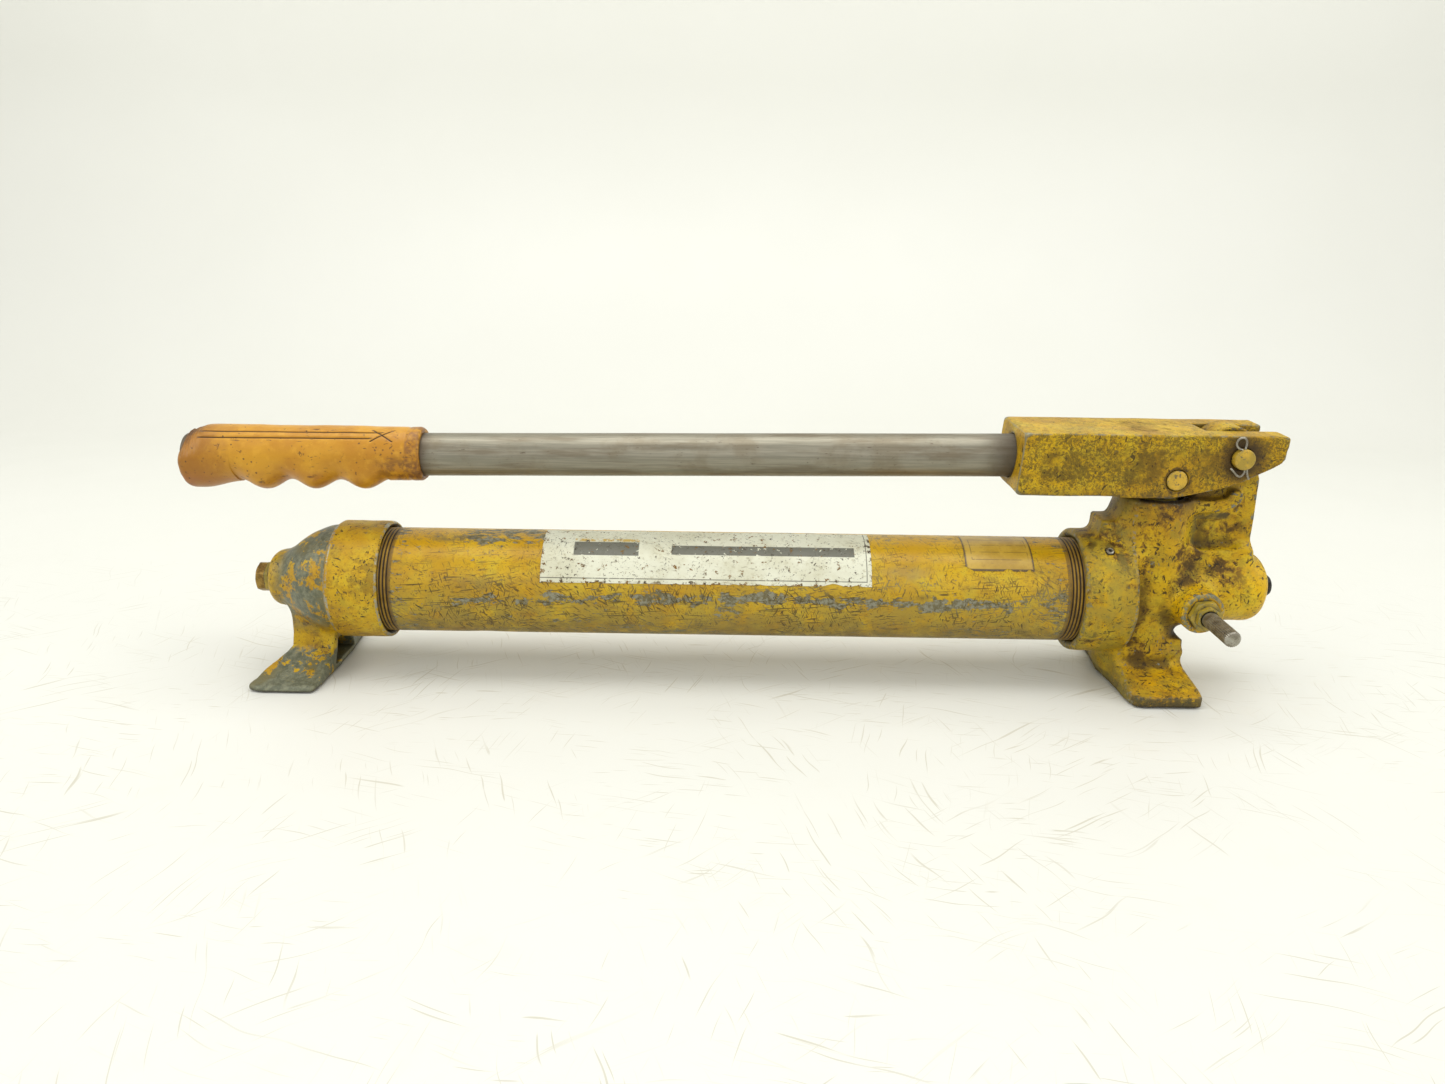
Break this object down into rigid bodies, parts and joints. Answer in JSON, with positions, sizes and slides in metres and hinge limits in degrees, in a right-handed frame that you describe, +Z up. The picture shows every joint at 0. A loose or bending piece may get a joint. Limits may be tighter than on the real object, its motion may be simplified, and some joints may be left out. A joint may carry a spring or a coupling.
{
  "type": "hydraulic hand pump",
  "caption": "Single-speed hydraulic hand pump: cast head and end cap on splayed feet, long reservoir tube, forged lever beam with gripped handle, release valve stem.",
  "frame": {"origin": "on the floor, under the plunger's axis, in the middle of the pump's depth", "axes": "+X along the reservoir towards the outlet port, -X towards the grip, -Y towards the release valve stem, +Z up"},
  "size_m": [0.6537, 0.127, 0.1598],
  "materials": {
    "painted_casting": "worn golden-yellow enamel over rough casting, oily stains",
    "painted_tube": "worn golden-yellow enamel, chipped to grey primer",
    "worn_casting": "yellow enamel rubbed through to grey casting",
    "painted_forging": "mottled yellow enamel over a forging, dark speckle",
    "painted_nut": "olive paint over steel",
    "painted_pin": "yellow paint over a steel pin end",
    "bare_tube": "bare drawn steel with brown patina",
    "plain_steel": "plain steel, dull",
    "dark_steel": "blackened steel",
    "spring_steel": "spring wire",
    "chrome": "ground and plated",
    "brass": "dull brass",
    "brass_plug": "tarnished brass with paint remnants",
    "seal_rubber": "matt black",
    "packing": "dark brown moulded packing",
    "backup_ring": "off-white ring",
    "grip_vinyl": "orange-tan moulded vinyl, scuffed",
    "silver_label": "thin metallised label, scratched",
    "amber_sticker": "thin yellowed sticker"
  },
  "bodies": {
    "pump": {"pump_head": "painted_casting", "reservoir_tube": "painted_tube", "end_cap": "worn_casting", "head_seal_ring": "seal_rubber", "cap_seal_ring": "seal_rubber", "suction_pipe": "brass", "suction_strainer": "brass", "collar_set_screw": "plain_steel", "reservoir_label": "silver_label", "rating_sticker": "amber_sticker", "plunger_packing": "packing", "packing_backup_ring": "backup_ring", "packing_gland_nut": "plain_steel", "plunger_wiper": "seal_rubber", "inlet_seat": "plain_steel", "inlet_spring": "spring_steel", "inlet_spring_clip": "plain_steel", "outlet_seat_plug": "plain_steel", "outlet_spring": "spring_steel", "relief_spring": "spring_steel", "relief_adjusting_screw": "plain_steel", "release_packing_nut": "painted_nut", "pivot_pin": "painted_pin", "cotter_pin": "plain_steel"},
    "lever": {"lever_beam": "painted_forging", "handle_tube": "bare_tube", "handle_grip": "grip_vinyl", "handle_set_screw": "dark_steel", "plunger_pin": "painted_pin"},
    "plunger": {"plunger": "chrome"},
    "inlet_ball": {"inlet_ball": "chrome"},
    "outlet_ball": {"outlet_ball": "chrome"},
    "relief_poppet": {"relief_ball": "chrome", "relief_guide": "plain_steel"},
    "release_carrier": {"release_o_ring": "seal_rubber"},
    "release_stem": {"release_stem": "plain_steel"},
    "fill_washer": {"fill_plug_washer": "seal_rubber"},
    "fill_plug": {"fill_plug": "brass_plug"},
    "outlet_plug": {"outlet_plug": "dark_steel"}
  },
  "joints": [
    {"name": "lever_swing", "type": "hinge", "parent": "pump", "child": "lever", "pos_m": [0.0362, 0, 0.1445], "axis": [0, 1, 0], "range_deg": [0, 40]},
    {"name": "plunger_stroke", "type": "slide", "parent": "pump", "child": "plunger", "axis": [0, 0, 1], "range_m": [0, 0.0256]},
    {"name": "inlet_valve_lift", "type": "slide", "parent": "pump", "child": "inlet_ball", "axis": [0, 0, 1], "range_m": [0, 0.0012], "deforming": ["inlet_spring"]},
    {"name": "outlet_valve_lift", "type": "slide", "parent": "pump", "child": "outlet_ball", "axis": [0, 0, 1], "range_m": [0, 0.0012], "deforming": ["outlet_spring"]},
    {"name": "relief_valve_lift", "type": "slide", "parent": "pump", "child": "relief_poppet", "axis": [0, 0, -1], "range_m": [0, 0.0008], "deforming": ["relief_spring"]},
    {"name": "release_valve_travel", "type": "slide", "parent": "pump", "child": "release_carrier", "axis": [0, -1, 0], "range_m": [0, 0.0009375]},
    {"name": "release_valve_turn", "type": "hinge", "parent": "release_carrier", "child": "release_stem", "pos_m": [0.023, -0.03, 0.0544], "axis": [0, -1, 0], "range_deg": [0, 270]},
    {"name": "fill_plug_travel", "type": "slide", "parent": "pump", "child": "fill_washer", "axis": [-1, 0, 0], "range_m": [0, 0.0045]},
    {"name": "fill_plug_turn", "type": "hinge", "parent": "fill_washer", "child": "fill_plug", "pos_m": [-0.5338, 0, 0.055], "axis": [-1, 0, 0], "range_deg": [0, 1080]},
    {"name": "outlet_plug_out", "type": "slide", "parent": "pump", "child": "outlet_plug", "axis": [1, 0, 0], "range_m": [0, 0.04]}
  ],
  "couplings": [
    {"joint": "plunger_stroke", "follows": "lever_swing", "m_per_rad": 0.03645},
    {"joint": "release_valve_turn", "follows": "release_valve_travel", "rad_per_m": 5026.5},
    {"joint": "fill_plug_turn", "follows": "fill_plug_travel", "rad_per_m": 4188.8}
  ]
}
